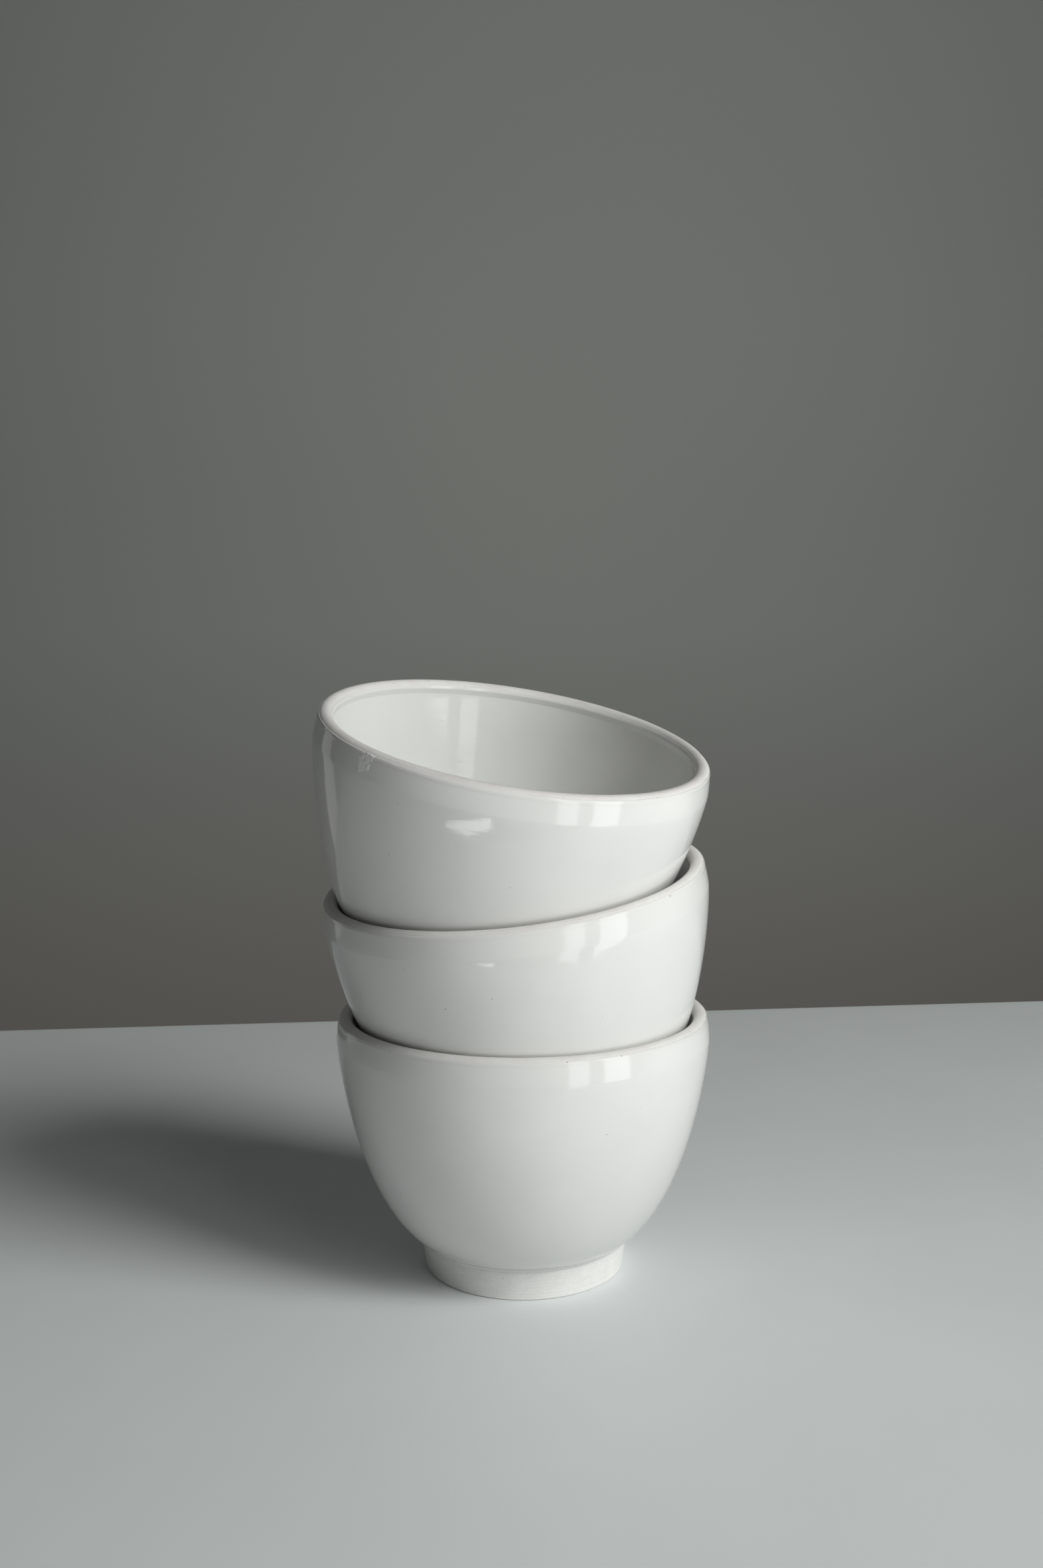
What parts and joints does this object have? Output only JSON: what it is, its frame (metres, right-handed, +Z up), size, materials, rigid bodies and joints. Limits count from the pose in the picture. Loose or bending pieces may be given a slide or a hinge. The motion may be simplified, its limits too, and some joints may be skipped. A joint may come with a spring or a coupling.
{
  "type": "nested stack of porcelain cups",
  "caption": "Stack of footed, handleless white porcelain cups with bare rounded lips, leaning as they sit nested in one another; each cup lifts off the one below.",
  "frame": {"origin": "centre of the whole stack's box, on the table that the lower cup's foot ring stands on", "axes": "+Z up from the table; -Y is the front, the side that both raised cups lean towards; +X is the side that the upper cup leans to"},
  "size_m": [0.0932, 0.0998, 0.1419],
  "materials": {
    "biscuit_body": "matte",
    "biscuit_foot": "matte",
    "outer_glaze": "gloss",
    "bowl_glaze": "gloss"
  },
  "bodies": {
    "lower_cup": {"lower_cup_body": "biscuit_body", "lower_cup_foot_ring": "biscuit_foot", "lower_cup_outer_glaze": "outer_glaze", "lower_cup_inner_glaze": "bowl_glaze"},
    "middle_cup": {"middle_cup_body": "biscuit_body", "middle_cup_foot_ring": "biscuit_foot", "middle_cup_outer_glaze": "outer_glaze", "middle_cup_inner_glaze": "bowl_glaze"},
    "upper_cup": {"upper_cup_body": "biscuit_body", "upper_cup_foot_ring": "biscuit_foot", "upper_cup_outer_glaze": "outer_glaze", "upper_cup_inner_glaze": "bowl_glaze"}
  },
  "joints": [
    {"name": "middle_cup_lift", "type": "slide", "parent": "lower_cup", "child": "middle_cup", "axis": [-0.1068, -0.0996, 0.9893], "range_m": [0, 0.06]},
    {"name": "upper_cup_lift", "type": "slide", "parent": "middle_cup", "child": "upper_cup", "axis": [0.1632, -0.1877, 0.9686], "range_m": [0, 0.06]}
  ]
}
